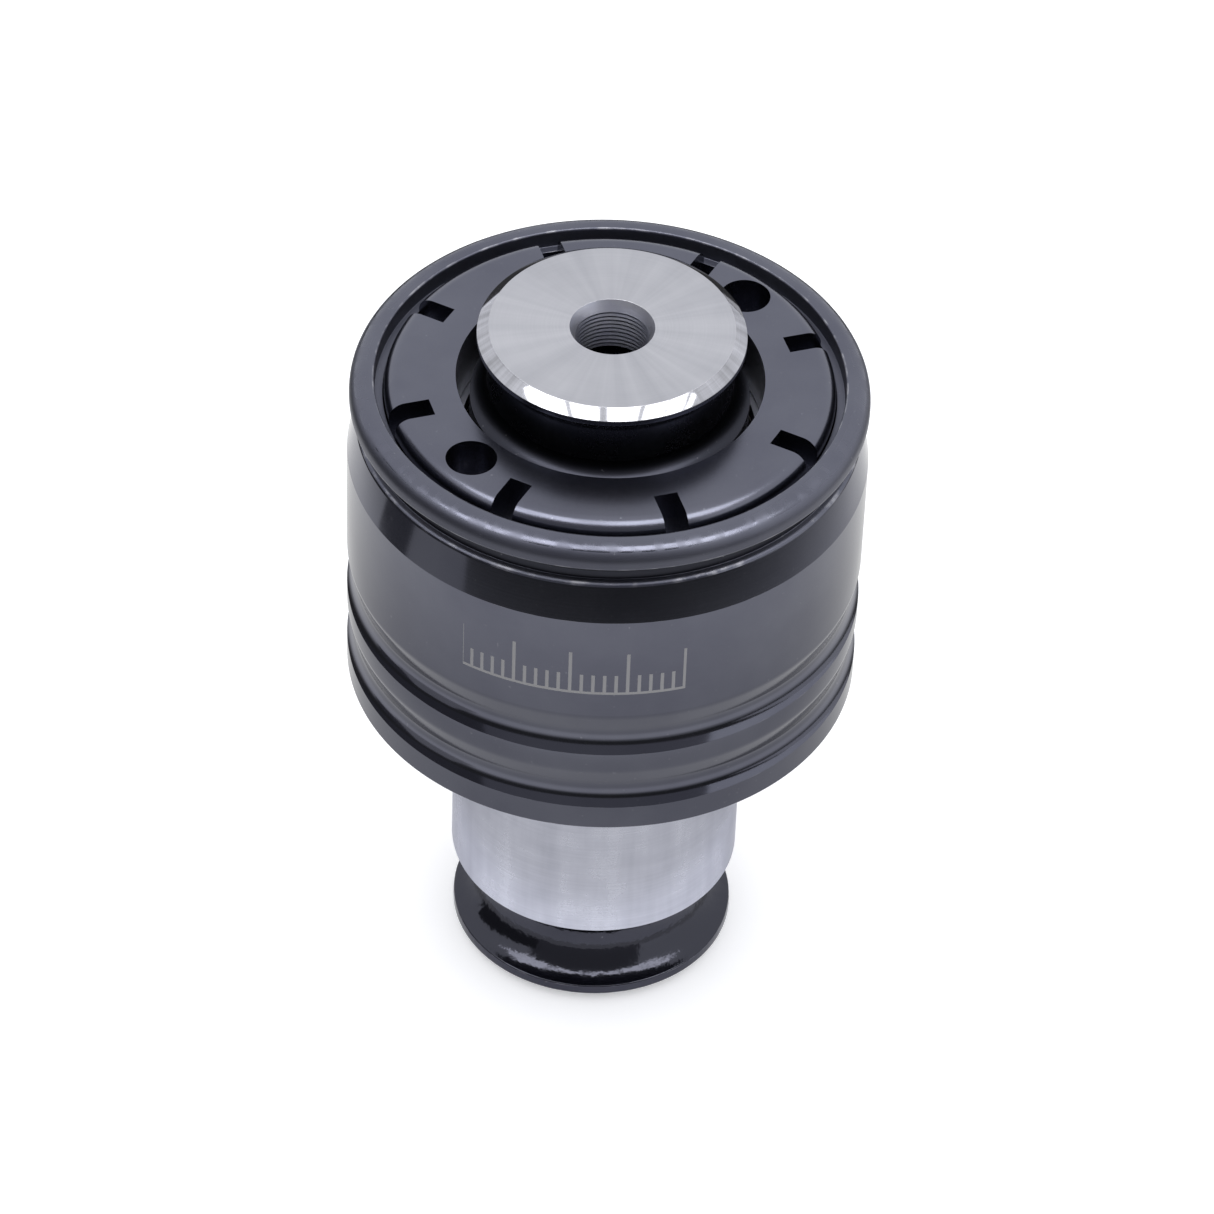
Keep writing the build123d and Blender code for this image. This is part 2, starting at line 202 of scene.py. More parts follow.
def rounded(outline):
    """Closed outline of (r, z, fillet) corners, with each filleted corner made an arc.

    Neighbouring fillets share the side between them. Returns the points, and for each point 1 if
    it is on a small outward edge that can wear, else 0.
    """
    points = []
    worn = []
    found = corners(outline)
    area = sum(outline[i - 1][0] * p[1] - p[0] * outline[i - 1][1] for i, p in enumerate(outline))
    for i, (here, back, ahead, half, cut) in enumerate(found):
        if not cut:
            points.append(here)
            worn.append(0.0)
            continue
        before, after = found[i - 1][4], found[(i + 1) % len(found)][4]
        room_back = SIDE_SHARE * back.length * cut / (cut + before)
        room_ahead = SIDE_SHARE * ahead.length * cut / (cut + after)
        cut = min(cut, room_back, room_ahead)
        radius = cut * math.tan(half)
        steps = FINE_STEPS if radius > WEAR_RADIUS else STEPS
        inward = (back.normalized() + ahead.normalized()).normalized()
        centre = here + inward * radius / math.sin(half)
        start = here + back.normalized() * cut - centre
        end = here + ahead.normalized() * cut - centre
        turn = math.atan2(start.x * end.y - start.y * end.x, start.dot(end))
        wears = radius < WEAR_RADIUS and turn * area > 0
        for step in range(steps + 1):
            points.append(centre + Matrix.Rotation(turn * step / steps, 2) @ start)
            worn.append(1.0 if wears and 0 < step < steps else 0.0)
    return points, worn


def lathe(name, outline):
    """Closed ring turned around Z from a closed (r, z, fillet) outline."""
    ring, worn = rounded(outline)
    mesh = bmesh.new()
    rows = []
    for i in range(SEGMENTS):
        angle = math.tau * i / SEGMENTS
        across, along = math.cos(angle) * MM, math.sin(angle) * MM
        rows.append([mesh.verts.new((p.x * across, p.x * along, p.y * MM)) for p in ring])
    for i in range(SEGMENTS):
        here, after = rows[i], rows[(i + 1) % SEGMENTS]
        for j in range(len(ring)):
            k = (j + 1) % len(ring)
            mesh.faces.new((here[j], after[j], after[k], here[k]))
    bmesh.ops.recalc_face_normals(mesh, faces=mesh.faces)
    piece = to_object(name, mesh)
    wear = piece.data.attributes.new("wear", "FLOAT", "POINT")
    wear.data.foreach_set("value", worn * SEGMENTS)
    return piece


def to_object(name, mesh):
    data = bpy.data.meshes.new(name)
    mesh.to_mesh(data)
    mesh.free()
    piece = bpy.data.objects.new(name, data)
    bpy.context.scene.collection.objects.link(piece)
    return piece


def apply_modifiers(piece):
    graph = bpy.context.evaluated_depsgraph_get()
    data = bpy.data.meshes.new_from_object(piece.evaluated_get(graph))
    piece.modifiers.clear()
    piece.data = data


def cut_away(piece, cutters):
    """Subtracts all the cutters, then removes them."""
    for cutter in cutters:
        tool = piece.modifiers.new("cut", "BOOLEAN")
        tool.operation = "DIFFERENCE"
        tool.solver = "EXACT"
        tool.object = cutter
    bpy.context.view_layer.update()
    apply_modifiers(piece)
    for cutter in cutters:
        bpy.data.objects.remove(cutter)


def block(size, centre, turn):
    """Box cutter of size (radial, across, high) at a radius, turned around Z."""
    mesh = bmesh.new()
    bmesh.ops.create_cube(mesh, size=1)
    place = Matrix.Rotation(math.radians(turn), 4, "Z")
    place @= Matrix.Translation(Vector(centre) * MM)
    place @= Matrix.Diagonal((size[0] * MM, size[1] * MM, size[2] * MM, 1))
    mesh.transform(place)
    return to_object("cutter", mesh)


def drill(radius, low, high, distance, turn):
    """Round cutter along Z between two heights, at a distance from the axis, turned around Z."""
    mesh = bmesh.new()
    bmesh.ops.create_cone(
        mesh, cap_ends=True, segments=64, radius1=radius * MM, radius2=radius * MM,
        depth=(high - low) * MM,
    )
    place = Matrix.Rotation(math.radians(turn), 4, "Z")
    place @= Matrix.Translation((distance * MM, 0, (low + high) / 2 * MM))
    mesh.transform(place)
    return to_object("cutter", mesh)


def smooth(piece, edge=0.0):
    """Smooth shading; edge, in mm, also bevels the sharp edges that are left."""
    for face in piece.data.polygons:
        face.use_smooth = True
    if edge:
        bevel = piece.modifiers.new("edge", "BEVEL")
        bevel.width = edge * MM
        bevel.segments = 2
        bevel.limit_method = "ANGLE"
        bevel.angle_limit = SHARP_ANGLE
        bevel.use_clamp_overlap = True
        apply_modifiers(piece)
        for face in piece.data.polygons:
            face.use_smooth = True
    piece.data.set_sharp_from_angle(angle=SHARP_ANGLE)
    normals = piece.modifiers.new("normals", "WEIGHTED_NORMAL")
    normals.keep_sharp = True


# ---- node helpers ------------------------------------------------------------

def material(name):
    made = bpy.data.materials.new(name)
    made.use_nodes = True
    made.node_tree.nodes.clear()
    return made


def node(tree, kind, inputs=None, **settings):
    """A shader node with its settings; an input is a value or another node's socket."""
    made = tree.nodes.new(kind)
    for key, value in settings.items():
        setattr(made, key, value)
    for key, value in (inputs or {}).items():
        socket = made.inputs[key]
        if isinstance(value, bpy.types.NodeSocket):
            tree.links.new(value, socket)
        else:
            socket.default_value = value
    return made


def maths(tree, operation, *values, clamp=False):
    made = node(tree, "ShaderNodeMath", dict(enumerate(values)), operation=operation)
    made.use_clamp = clamp
    return made.outputs[0]


def ramp(tree, value, *stops):
    """Colour ramp from (position, grey or colour) stops."""
    made = node(tree, "ShaderNodeValToRGB", {"Fac": value})
    elements = made.color_ramp.elements
    while len(elements) < len(stops):
        elements.new(0.5)
    for element, (position, colour) in zip(elements, stops):
        element.position = position
        if not isinstance(colour, tuple):
            colour = (colour, colour, colour)
        element.color = (*colour, 1)
    return made.outputs["Color"]


def mix(tree, amount, first, second):
    """Mix of two colours, which a mix node takes and gives at sockets of their own."""
    made = node(tree, "ShaderNodeMix", {0: amount, 6: first, 7: second}, data_type="RGBA")
    return made.outputs[2]


def weighted(tree, *terms):
    """Sum of (value, weight) terms."""
    total = None
    for value, weight in terms:
        share = maths(tree, "MULTIPLY", value, weight)
        total = maths(tree, "ADD", total, share) if total else share
    return total


def coordinates(tree):
    """Object position, its x, y and z, and the distance from the axis, in metres."""
    place = node(tree, "ShaderNodeTexCoord").outputs["Object"]
    parts = node(tree, "ShaderNodeSeparateXYZ", {0: place}).outputs
    squared = weighted(tree, (parts[0], parts[0]), (parts[1], parts[1]))
    return place, parts, maths(tree, "SQRT", squared)


def turning_marks(tree, parts, radius, fine, drift):
    """Coordinates that change quickly across the turning marks and slowly along them."""
    across = weighted(tree, (radius, fine), (parts[0], drift))
    along = weighted(tree, (parts[2], fine), (parts[1], drift))
    return node(tree, "ShaderNodeCombineXYZ", {0: across, 1: along}).outputs[0]


def fanned(tree, parts, radius, around, along):
    """Coordinates that change with the direction from the axis, and along it in steps per metre."""
    aims = [maths(tree, "DIVIDE", parts[i], radius) for i in (0, 1)]
    scaled = [maths(tree, "MULTIPLY", aim, around) for aim in aims]
    scaled.append(maths(tree, "MULTIPLY", parts[2], along))
    return node(tree, "ShaderNodeCombineXYZ", dict(enumerate(scaled))).outputs[0]


def between(tree, value, low, high):
    """1 where the value lies between low and high, else 0."""
    return maths(tree, "COMPARE", value, (low + high) / 2, (high - low) / 2)


def noise(tree, vector, scale, detail=3.0, roughness=0.55):
    inputs = {"Vector": vector, "Scale": scale, "Detail": detail, "Roughness": roughness}
    return node(tree, "ShaderNodeTexNoise", inputs).outputs["Fac"]


def bump(tree, height, strength):
    inputs = {"Height": height, "Strength": strength, "Distance": BUMP_DISTANCE}
    return node(tree, "ShaderNodeBump", inputs).outputs[0]


def finish_material(tree, shader):
    node(tree, "ShaderNodeOutputMaterial", {"Surface": shader.outputs[0]})


def finish_metal(tree, colour, roughness, normal, others=None):
    """Ends a material in a metallic shader; others are more of its inputs."""
    inputs = {"Base Color": colour, "Metallic": 1.0, "Roughness": roughness, "Normal": normal}
    inputs.update(others or {})
    finish_material(tree, node(tree, "ShaderNodeBsdfPrincipled", inputs))


# ---- materials ---------------------------------------------------------------

# Blackened steel, what is on it, and its blacks darkened as painted shade.
BLACK = (0.116, 0.12, 0.149)
BLACK_DEEP = (0.096, 0.099, 0.127)
# The shank's blackened end: its own oxide, darker than BLACK as painted shade in the ball groove.
GROOVE_SHADED_BLACK = (0.065, 0.066, 0.085)
GROOVE_SHADED_BLACK_DEEP = (0.05, 0.051, 0.067)
# Painted shade: a much darker black for the seam, the nut's bore wall and the collar's flare.
PAINTED_SHADE_BLACK = (0.03, 0.031, 0.04)
# Painted shade, darkest towards the end flange.
FLANGE_SHADE = (0.043, 0.044, 0.055)
BARE = (0.36, 0.36, 0.39)
ETCHED = (0.31, 0.31, 0.325)

# Bright steel; its two tones mix in streaks that are partly painted sheen.
STEEL = (0.55, 0.562, 0.64)
STEEL_DULL = (0.42, 0.43, 0.50)
BORE = (0.5, 0.502, 0.53)
EDGE = (0.46, 0.462, 0.5)
EDGE_DULL = (0.27, 0.272, 0.29)
FACE = (0.435, 0.437, 0.467)
FACE_DULL = (0.365, 0.368, 0.398)
GRAZING_TINT = (0.6, 0.6, 0.62, 1)

BUMP_DISTANCE = 0.00002
TOOL_MARKS = 14000.0

# Painted shade in the ball groove, darker towards the end flange: slope and offset of its
# mask over z, and the z it stays between.
FLANGE_SHADE_SLOPE = -0.5
FLANGE_SHADE_START = 2.3
FLANGE_SHADE_ZONE = (1.4, 5.0)

# The etched scale: angles in degrees, lengths in mm, and (tick every so many steps, its length).
SCALE_ANGLES = (-31.0, 19.0)
SCALE_STEP = 2.5
SCALE_Z = 35.0
SCALE_LINE = 0.2
SCALE_TICK_SHARE = 0.15
SCALE_TICKS = ((1, 1.6), (5, 3.4))


def graduations(tree, parts):
    """Mask of a plain etched scale: a base line, short ticks and a long tick at every fifth."""
    back = maths(tree, "MULTIPLY", parts[1], -1.0)
    angle = maths(tree, "DEGREES", maths(tree, "ARCTAN2", parts[0], back))
    height = maths(tree, "MULTIPLY", parts[2], 1 / MM)
    drawn = between(tree, height, SCALE_Z, SCALE_Z + SCALE_LINE)
    for every, length in SCALE_TICKS:
        phase = maths(tree, "FRACT", maths(tree, "DIVIDE", angle, SCALE_STEP * every))
        tick = maths(tree, "COMPARE", phase, 0.5, SCALE_TICK_SHARE / every)
        reach = between(tree, height, SCALE_Z, SCALE_Z + length)
        drawn = maths(tree, "MAXIMUM", drawn, maths(tree, "MULTIPLY", tick, reach))
    return maths(tree, "MULTIPLY", drawn, between(tree, angle, *SCALE_ANGLES))


def shade_toward_flange(tree, parts):
    """Mask of painted shade that grows from the floor of the ball groove down to the end flange."""
    height = maths(tree, "MULTIPLY", parts[2], 1 / MM)
    down = maths(tree, "MULTIPLY_ADD", height, FLANGE_SHADE_SLOPE, FLANGE_SHADE_START, clamp=True)
    return maths(tree, "MULTIPLY", down, between(tree, height, *FLANGE_SHADE_ZONE))


def black_oxide(name, gloss, tones=(BLACK_DEEP, BLACK), marks=None, scratched=0.0, dented=0.0):
    """Blackened turned steel: dark tinted gloss, faint turning marks, smudges and worn edges.

    gloss is the lowest and highest roughness, tones the darkest and lightest colour. marks is a
    mask, for etched marks or for painted shade, with the colour and roughness that it adds,
    scratched the roughness of its scratches, and dented the height of its small dents.
    """
    made = material(name)
    tree = made.node_tree
    place, parts, radius = coordinates(tree)
    marked = turning_marks(tree, parts, radius, fine=9000.0, drift=60.0)
    lines = noise(tree, marked, scale=1.0, detail=2.0)
    smudges = noise(tree, place, scale=140.0, detail=4.0)
    specks = noise(tree, place, scale=2600.0, detail=2.0, roughness=0.7)
    base = mix(tree, ramp(tree, smudges, (0.35, 0.0), (0.7, 1.0)), (*tones[0], 1), (*tones[1], 1))
    edges = node(tree, "ShaderNodeAttribute", attribute_name="wear").outputs["Fac"]
    scuffs = noise(tree, place, scale=900.0, detail=3.0)
    bared = maths(tree, "MULTIPLY", edges, ramp(tree, scuffs, (0.5, 0.0), (0.68, 0.6)))
    base = mix(tree, bared, base, (*BARE, 1))
    dust = ramp(tree, specks, (0.7, 0.0), (0.78, 0.3))
    base = mix(tree, dust, base, (*BARE, 1))
    rough = node(tree, "ShaderNodeMapRange",
                 {"Value": smudges, "To Min": gloss[0], "To Max": gloss[1]})
    roughness = maths(tree, "ADD", rough.outputs[0], maths(tree, "MULTIPLY", specks, 0.03))
    if scratched:
        spread = fanned(tree, parts, radius, around=16.0, along=1500.0)
        scratches = noise(tree, spread, scale=1.0, detail=3.0)
        duller = ramp(tree, scratches, (0.42, 0.0), (0.6, scratched))
        roughness = maths(tree, "ADD", roughness, duller)
    if marks:
        mask, colour, dullness = marks
        drawn = mask(tree, parts)
        base = mix(tree, drawn, base, (*colour, 1))
        roughness = maths(tree, "ADD", roughness, maths(tree, "MULTIPLY", drawn, dullness))
    height = weighted(tree, (lines, 0.5), (specks, 0.35))
    if dented:
        dents = noise(tree, place, scale=800.0, detail=3.0)
        height = maths(tree, "ADD", height, maths(tree, "MULTIPLY", dents, dented))
    finish_metal(tree, base, roughness, bump(tree, height, 0.1))
    return made


def bright_steel(name, tones, streaks, fine, roughness, anisotropy, line_strength):
    """Bare steel with fine marks around the axis, and tone streaks that are painted sheen.

    tones are its darkest and lightest colour, streaks how quickly its painted sheen changes around
    the axis, per radian, and along it, per metre, and fine the number of marks per metre.
    """
    made = material(name)
    tree = made.node_tree
    place, parts, radius = coordinates(tree)
    marked = turning_marks(tree, parts, radius, fine, drift=120.0)
    lines = noise(tree, marked, scale=1.0, detail=4.0, roughness=0.6)
    # Painted sheen: tone bands around the axis that stand for streaky highlights.
    sheen_bands = noise(tree, fanned(tree, parts, radius, *streaks), scale=1.0, detail=4.0)
    blotches = noise(tree, place, scale=420.0, detail=2.0)
    shade = weighted(tree, (sheen_bands, 0.55), (blotches, 0.25), (lines, 0.2))
    base = mix(tree, ramp(tree, shade, (0.38, 0.0), (0.62, 1.0)), (*tones[0], 1), (*tones[1], 1))
    rough = node(tree, "ShaderNodeMapRange",
                 {"Value": shade, "To Min": roughness * 1.2, "To Max": roughness * 0.8})
    tangent = node(tree, "ShaderNodeTangent", direction_type="RADIAL", axis="Z")
    others = {
        "Anisotropic": anisotropy,
        "Tangent": tangent.outputs[0],
        "Specular Tint": GRAZING_TINT,
    }
    finish_metal(tree, base, rough.outputs[0], bump(tree, lines, line_strength), others)
    return made


def plain_metal(name, low, high, roughness):
    """Inner metal: two close tones in blotches, with fine turning marks."""
    made = material(name)
    tree = made.node_tree
    place, parts, radius = coordinates(tree)
    lines = noise(tree, turning_marks(tree, parts, radius, fine=8000.0, drift=100.0), scale=1.0)
    tone = noise(tree, place, scale=400.0, detail=4.0)
    base = mix(tree, tone, (*low, 1), (*high, 1))
    rough = node(tree, "ShaderNodeMapRange",
                 {"Value": tone, "To Min": roughness - 0.05, "To Max": roughness + 0.05})
    finish_metal(tree, base, rough.outputs[0], bump(tree, lines, 0.1))
    return made


def paint(piece, look, *others):
    """Gives a piece its material; others are (material, zones) pairs for the faces in the zones."""
    piece.data.materials.clear()
    piece.data.materials.append(look)
    for index, (other, zones) in enumerate(others, start=1):
        piece.data.materials.append(other)
        for face in piece.data.polygons:
            if in_zones(face.center / MM, zones):
                face.material_index = index


def in_zones(centre, zones):
    """Whether a point, in mm, lies in one of the (inner, outer, bottom, top) zones."""
    radius = centre.xy.length
    return any(
        inner < radius < outer and bottom < centre.z < top
        for inner, outer, bottom, top in zones
    )


# ---- turned pieces -----------------------------------------------------------

def grip_groove(radius, low, high):
    """Section of a grip groove: a steep arc to its deepest line, then a flank with eased ends."""
    deepest = low + GRIP_FLOOR_RISE
    lower = upright_arc((radius - GRIP_GROOVE_DEPTH, deepest), (radius, low), steps=10)
    points = [(*lower[-1], 0.03)]
    points += [(r, z, 0) for r, z in lower[-2::-1]]
    for i in range(1, GRIP_FLANK_STEPS + 1):
        share = i / GRIP_FLANK_STEPS
        depth = GRIP_GROOVE_DEPTH * (1 - eased(share))
        points.append((radius - depth, deepest + (high - deepest) * share, 0))
    return points


def eased(share):
    """Rises from 0 to 1, straight but for a parabola over GRIP_EASE at each end."""
    if share > 0.5:
        return 1 - eased(1 - share)
    if share < GRIP_EASE:
        return share * share / (2 * GRIP_EASE * (1 - GRIP_EASE))
    return (share - GRIP_EASE / 2) / (1 - GRIP_EASE)


def housing_sleeve():
    low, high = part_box("clutch_housing")
    radius, bottom, top = high.x / MM, low.z / MM, high.z / MM
    mouth_floor = top - MOUTH_DEPTH
    outline = [(radius, bottom, 0.1)]
    for groove in GRIP_GROOVES:
        outline += grip_groove(radius, *groove)
    outline += [
        (radius, CONE_BOTTOM, 0.08),
        (15.95, 43.7, 0.35),
        (SEAM_RADIUS, 43.8, 0.05),
        (SEAM_RADIUS, 44.45, 0.05),
        (16.0, 44.96, 0.05),
        (LIP_RADIUS, 45.26, 0.2),
        (LIP_RADIUS, top, 1.05),
        (MOUTH_RADIUS, top, 0.15),
        (MOUTH_RADIUS, mouth_floor, 0.05),
        (THREAD_RADIUS, mouth_floor, 0.05),
        (THREAD_RADIUS, THREAD_BOTTOM, 0.05),
        (CHAMBER_RADIUS, THREAD_BOTTOM, 0.05),
        (CHAMBER_RADIUS, CHAMBER_FLOOR, 0.05),
        (REGISTER_BORE, CHAMBER_FLOOR, 0.05),
        (REGISTER_BORE, bottom, 0.05),
    ]
    piece = lathe("housing_sleeve", outline)
    smooth(piece)
    return piece


def shank():
    groove = arc_through(*BALL_GROOVE_ARC, steps=28)
    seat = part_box("clutch_housing")[0].z / MM
    outline = [(3.25, 0, 0.05), (8.5, 0, 0.06), (9.35, 0.85, 0.12)]
    outline.append((*groove[0], 0.12))
    outline += [(r, z, 0) for r, z in groove[1:-1]]
    outline += [
        (*groove[-1], 0.05),
        (SHANK_RADIUS, seat, 0),
        (REGISTER_RADIUS, seat, 0),
        (REGISTER_RADIUS, CHAMBER_FLOOR, 0),
        (FLANGE_RADIUS, CHAMBER_FLOOR, 0),
        (FLANGE_RADIUS, FLANGE_TOP, 0),
        (BUSH_SEAT, FLANGE_TOP, 0),
        (BUSH_SEAT, BUSH_SEAT_FLOOR, 0),
        (THROUGH_BORE, BUSH_SEAT_FLOOR, 0),
        (THROUGH_BORE, 0.25, 0),
    ]
    piece = lathe("shank", outline)
    size = (DRIVE_SLOT_DEPTH, DRIVE_SLOT_WIDTH, seat - DRIVE_SLOT_BOTTOM)
    centre = (SHANK_RADIUS, 0, (seat + DRIVE_SLOT_BOTTOM) / 2)
    cut_away(piece, [block(size, centre, turn) for turn in (0, 180)])
    smooth(piece, edge=0.06)
    return piece


def nut():
    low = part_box("adjusting_nut")[0].z / MM
    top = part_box("adjusting_nut")[1].z / MM
    outline = [
        (NUT_BORE, low, 0.1),
        (NUT_RADIUS, low, 0.1),
        (NUT_RADIUS, top, 1.0),
        (NUT_BORE, top, 0),
    ]
    piece = lathe("nut", outline)
    slot = (NUT_SLOT_RADIUS, 0, top - NUT_SLOT_DROP)
    cutters = [block(NUT_SLOT, slot, NUT_SLOT_ANGLE + 45 * i) for i in range(8)]
    floor_z = top - SPANNER_HOLE_DEPTH
    for angle in (SPANNER_ANGLE, SPANNER_ANGLE + 180):
        cutters.append(drill(SPANNER_HOLE, floor_z, top + 1, SPANNER_CIRCLE, angle))
    cut_away(piece, cutters)
    smooth(piece)
    return piece


def bore_rings(radius, low, high):
    """Points down a bore from high to low with the fine rings that a boring tool leaves."""
    count = round((high - low) / BORE_RING_PITCH)
    points = []
    for i in range(2 * count + 1):
        outward = BORE_RING_DEPTH if i % 2 else 0.0
        points.append((radius + outward, high - (high - low) * i / (2 * count), 0.02))
    return points


def collar():
    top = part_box("release_collar")[1].z / MM
    head = upright_arc((WAIST_RADIUS, 49.0), (HEAD_RADIUS, 50.01), steps=12)
    flare = upright_arc((WAIST_RADIUS, 46.6), (BARREL_RADIUS, 45.45), steps=16)
    outline = [(2.67, top, 0.03), (7.7, top, 0.04), (HEAD_RADIUS, 50.36, 0.05)]
    outline.append((*head[-1], 0.05))
    outline += [(r, z, 0) for r, z in head[-2::-1] + flare]
    outline += [
        (BARREL_RADIUS, COLLAR_BOTTOM, 0.1),
        (POCKET_OUTER, COLLAR_BOTTOM, 0.05),
        (POCKET_OUTER, POCKET_TOP, 0.05),
        (POCKET_INNER, POCKET_TOP, 0.05),
        (POCKET_INNER, COLLAR_BOTTOM, 0.05),
        (COLLAR_ENTRY, COLLAR_BOTTOM, 0.05),
        (COLLAR_ENTRY, 38.85, 0),
        (SNAP_GROOVE, 38.85, 0),
        (SNAP_GROOVE, 39.4, 0),
        (SPINDLE_BORE, 39.4, 0),
        (SPINDLE_BORE, 41.0, 0),
        (5.49, 41.0, 0),
        (6.37, 45.4, 0),
        (SPINDLE_BORE, 46.5, 0),
        (SPINDLE_BORE, SPINDLE_BORE_TOP, 0),
    ]
    outline += bore_rings(TAP_ENTRY, SPINDLE_BORE_TOP, top - TAP_ENTRY_CHAMFER)[::-1]
    piece = lathe("collar", outline)
    smooth(piece)
    return piece


# ---- stage -------------------------------------------------------------------

def make_camera():
    data = bpy.data.cameras.new("camera")
    data.lens = LENS
    data.sensor_width = SENSOR
    camera = bpy.data.objects.new("camera", data)
    bpy.context.scene.collection.objects.link(camera)
    tilt = math.radians(CAMERA_ELEVATION)
    away = Vector((0, -math.cos(tilt), math.sin(tilt)))
    roll = Matrix.Rotation(math.radians(CAMERA_ROLL), 4, "Z")
    turn = Matrix.Rotation(math.pi / 2 - tilt, 4, "X") @ roll
    place = Matrix.Translation(Vector(CAMERA_TARGET) + away * CAMERA_DISTANCE)
    camera.matrix_world = place @ turn
    bpy.context.scene.camera = camera


def reflected_only(piece, shade, strength):
    """Makes a piece a glow that only reflections see; shade is its colour or a way to make it."""
    piece.visible_camera = False
    piece.visible_diffuse = False
    piece.visible_shadow = False
    look = material(piece.name)
    tree = look.node_tree
    colour = shade(tree) if callable(shade) else shade
    finish_material(tree, node(tree, "ShaderNodeEmission", {"Color": colour, "Strength": strength}))
    paint(piece, look)


def card(name, width, depth, centre, tilt=0.0, turn=0.0):
    """Flat rectangle, tilted around X and then turned around Z, in degrees."""
    mesh = bmesh.new()
    bmesh.ops.create_grid(mesh, x_segments=1, y_segments=1, size=0.5)
    mesh.transform(Matrix.Diagonal((width, depth, 1, 1)))
    piece = to_object(name, mesh)
    piece.location = centre
    piece.rotation_euler = (math.radians(tilt), 0, math.radians(turn))
    return piece


def fading_floor():
    """Flat ring around the part, where the lit floor fades to the dark of the room."""
    mesh = bmesh.new()
    loops = []
    angles = [math.tau * i / POOL_SIDES for i in range(POOL_SIDES)]
    for radius in (POOL_START, POOL_OUTER):
        loops.append([
            mesh.verts.new((radius * math.cos(angle), radius * math.sin(angle), 0))
            for angle in angles
        ])
    for i in range(POOL_SIDES):
        j = (i + 1) % POOL_SIDES
        mesh.faces.new((loops[0][i], loops[1][i], loops[1][j], loops[0][j]))
    piece = to_object("fading_floor", mesh)
    piece.location.z = POOL_HEIGHT
    reflected_only(piece, pool_shade, POOL_GLOW)


def pool_shade(tree):
    """Brightness of the floor by distance: a little darker close to the part, dark far away."""
    radius = coordinates(tree)[2]
    share = maths(tree, "DIVIDE", radius, POOL_SPAN)
    stops = ((0.3, 0.7), (0.38, 1.0), (0.5, 1.0), (0.6, 0.6), (0.7, 0.28), (0.85, 0.08))
    return ramp(tree, share, *stops)


def floor():
    mesh = bmesh.new()
    bmesh.ops.create_grid(mesh, x_segments=1, y_segments=1, size=FLOOR_SIZE / 2)
    piece = to_object("floor", mesh)
    look = material("floor")
    inputs = {"Base Color": PALE, "Roughness": 0.9, "Specular IOR Level": 0.1,
              "Emission Color": PALE, "Emission Strength": FLOOR_GLOW}
    finish_material(look.node_tree, node(look.node_tree, "ShaderNodeBsdfPrincipled", inputs))
    paint(piece, look)


def room():
    """Pale studio. All its cards are seen in reflections only.

    The floor's glow is brightest around the part. Dark cards stand in front and on the left, a
    dark and two bright ones lie on the floor, and a row of lamps hangs above.
    """
    world = bpy.data.worlds.new("studio")
    world.use_nodes = True
    back = world.node_tree.nodes["Background"]
    back.inputs["Color"].default_value = SKY
    back.inputs["Strength"].default_value = SKY_GLOW
    bpy.context.scene.world = world
    bpy.context.scene.view_settings.view_transform = "Standard"
    fading_floor()
    reflected_only(card("dark_side", 0.075, 0.05, (-0.1225, -0.012, 0.001)), DARK, 1.0)
    reflected_only(card("dark_front", 1.4, 1.1, (-0.1, -0.6, 0.55), tilt=90), DIM, 1.0)
    reflected_only(card("bright_left", 0.1, 0.05, (-0.108, -0.048, 0.0014), turn=24), PALE, 0.6)
    reflected_only(card("dark_left", 0.85, 0.35, (-0.6, -0.2, 0.175), tilt=90, turn=90), DARK, 1.0)
    reflected_only(card("bright_right", 0.75, 0.8, (0.505, 0.3, 0.0012)), PALE, 1.0)
    for i, (across, width) in enumerate(LAMPS):
        lamp = card(f"lamp_{i}", width, LAMP_DEPTH, (across, LAMP_Y, LAMP_HEIGHT))
        reflected_only(lamp, WHITE, LAMP_GLOW)


# ---- assembly ----------------------------------------------------------------

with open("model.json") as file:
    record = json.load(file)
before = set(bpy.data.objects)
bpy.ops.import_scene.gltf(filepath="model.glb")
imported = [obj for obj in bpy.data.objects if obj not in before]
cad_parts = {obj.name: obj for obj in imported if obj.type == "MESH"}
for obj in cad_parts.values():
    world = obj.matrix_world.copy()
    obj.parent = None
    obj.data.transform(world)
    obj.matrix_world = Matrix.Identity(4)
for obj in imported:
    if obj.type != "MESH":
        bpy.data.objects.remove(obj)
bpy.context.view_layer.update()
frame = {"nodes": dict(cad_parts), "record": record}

make_camera()
floor()
room()

black = black_oxide("black_oxide", (0.07, 0.13))
scaled_black = black_oxide("black_oxide_scale", (0.07, 0.13), marks=(graduations, ETCHED, 0.35))
satin_black = black_oxide("black_oxide_satin", (0.22, 0.3))
lip_black = black_oxide("black_oxide_lip", (0.15, 0.2), scratched=0.2)
matt_black = black_oxide("black_oxide_matt", (0.4, 0.46))
# Painted shade: the darkest black, in the seam, on the nut's bore wall and on the collar's flare.
painted_shade_black = black_oxide("black_oxide_painted_shade", (0.25, 0.35), tones=(PAINTED_SHADE_BLACK, PAINTED_SHADE_BLACK))
nut_black = black_oxide("black_oxide_nut", (0.19, 0.26))
# Blackened shank end, darker as painted shade in the ball groove, most towards the end flange.
groove_shaded_black = black_oxide(
    "black_oxide_groove_shaded", (0.08, 0.14), tones=(GROOVE_SHADED_BLACK_DEEP, GROOVE_SHADED_BLACK),
    marks=(shade_toward_flange, FLANGE_SHADE, 0.0), dented=25.0,
)
# The bright steels' tone streaks are painted sheen: streaky and fanned highlights, broken edge
# glints.
ground = bright_steel(
    "ground_steel", (STEEL_DULL, STEEL), streaks=(4.0, 40.0), fine=6000.0,
    roughness=0.28, anisotropy=0.5, line_strength=0.25,
)
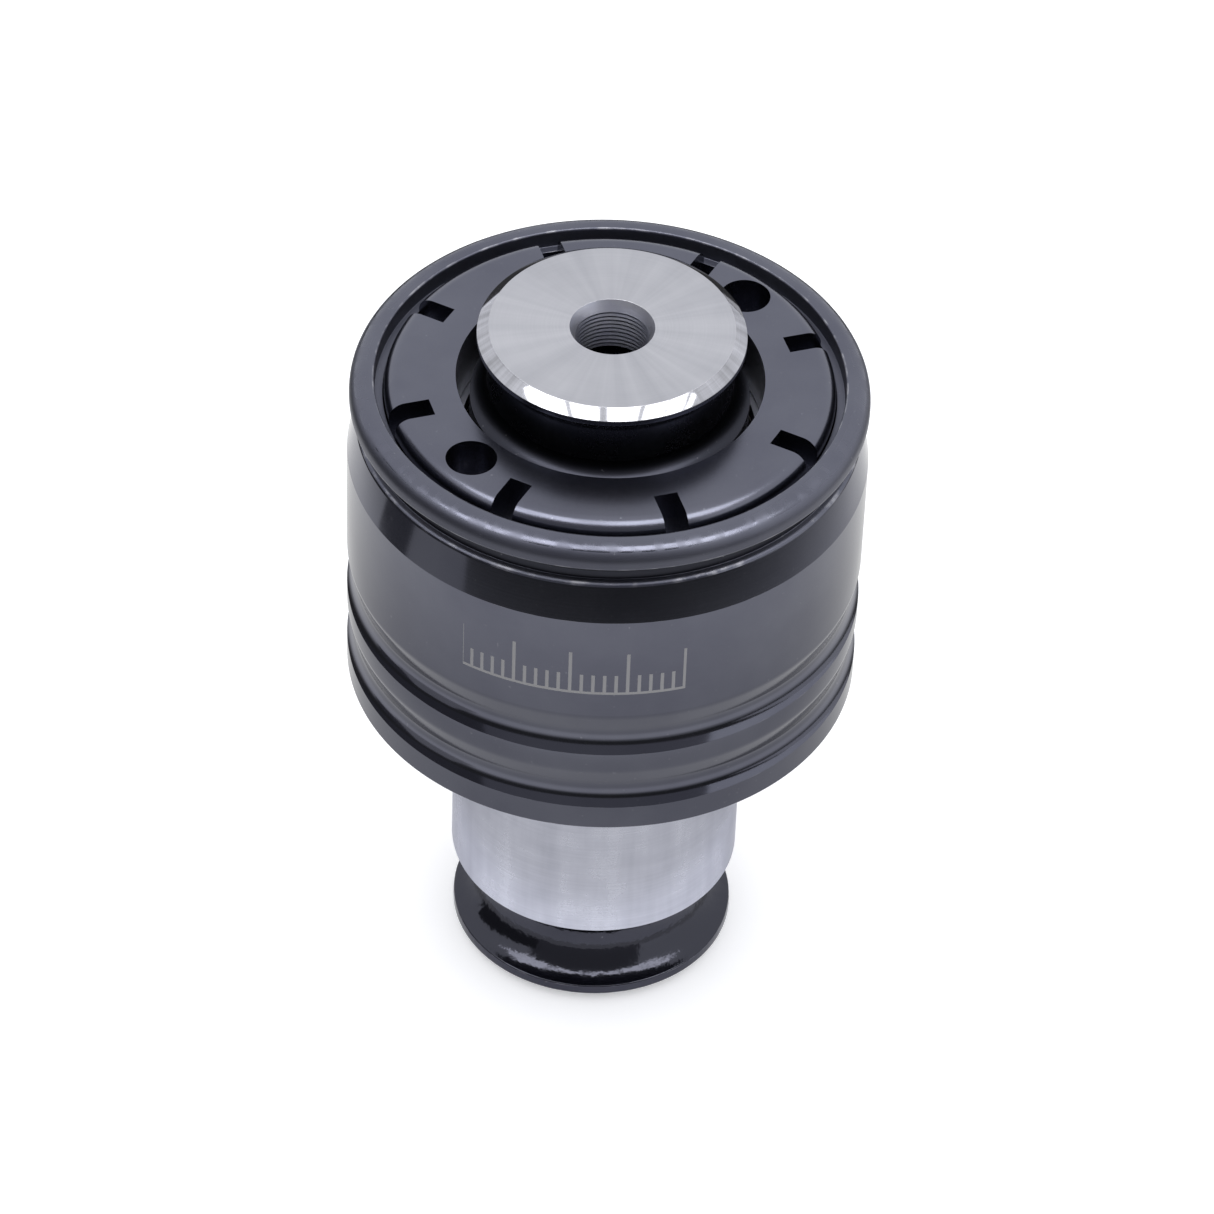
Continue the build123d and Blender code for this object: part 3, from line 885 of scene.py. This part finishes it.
face_steel = bright_steel(
    "turned_face", (FACE_DULL, FACE), streaks=(5.0, 0.0), fine=TOOL_MARKS,
    roughness=0.3, anisotropy=0.75, line_strength=0.3,
)
edge_steel = bright_steel(
    "turned_edge", (EDGE_DULL, EDGE), streaks=(13.0, 0.0), fine=TOOL_MARKS,
    roughness=0.07, anisotropy=0.0, line_strength=0.02,
)
bore_steel = bright_steel(
    "bored_steel", (STEEL_DULL, BORE), streaks=(1.0, 900.0), fine=TOOL_MARKS,
    roughness=0.4, anisotropy=0.3, line_strength=0.4,
)
spring = plain_metal(
    "spring_steel", low=(0.20, 0.19, 0.19), high=(0.30, 0.29, 0.28), roughness=0.35,
)
bearing = plain_metal(
    "bearing_steel", low=(0.62, 0.62, 0.64), high=(0.70, 0.70, 0.73), roughness=0.12,
)
bronze = plain_metal(
    "bronze", low=(0.55, 0.33, 0.13), high=(0.68, 0.44, 0.20), roughness=0.32,
)

looks = {
    "black_oxide_steel": black,
    "ground_steel": ground,
    "spring_steel": spring,
    "bearing_steel": bearing,
    "bronze": bronze,
}
for part in frame["record"]["subparts"]:
    paint(frame["nodes"][part["node"]], looks[part["material_slot"]])

# Finishes by zone; the seam, the nut's bore wall, the collar's flare and the ball groove get
# painted shade.
housing_finish_and_shade = (
    scaled_black,
    (lip_black, (LIP_EDGE,)),
    (matt_black, (LIP_SIDE, LIP_INNER_WALL, LEDGE_EDGE)),
    (painted_shade_black, (SEAM,)),
)
shank_finish_and_shade = (ground, (groove_shaded_black, (BLACKENED_END,)))
nut_finish_and_shade = (nut_black, (painted_shade_black, (NUT_BORE_WALL,)))
collar_finish_and_shade = (
    satin_black,
    (face_steel, (HEAD_FACE,)),
    (edge_steel, (HEAD_EDGE,)),
    (bore_steel, (ENTRY_WALL,)),
    (painted_shade_black, (FLARE,)),
)
turned = (
    (housing_sleeve, "clutch_housing", "housing", "black_oxide_steel", housing_finish_and_shade),
    (shank, "drive_shank", "housing", "ground_steel", shank_finish_and_shade),
    (nut, "adjusting_nut", "nut", "black_oxide_steel", nut_finish_and_shade),
    (collar, "release_collar", "collar", "black_oxide_steel", collar_finish_and_shade),
)
for make, cad_node, body, slot, finish_and_shade in turned:
    piece = make()
    paint(piece, *finish_and_shade)
    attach(piece, body)
    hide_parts(cad_node)
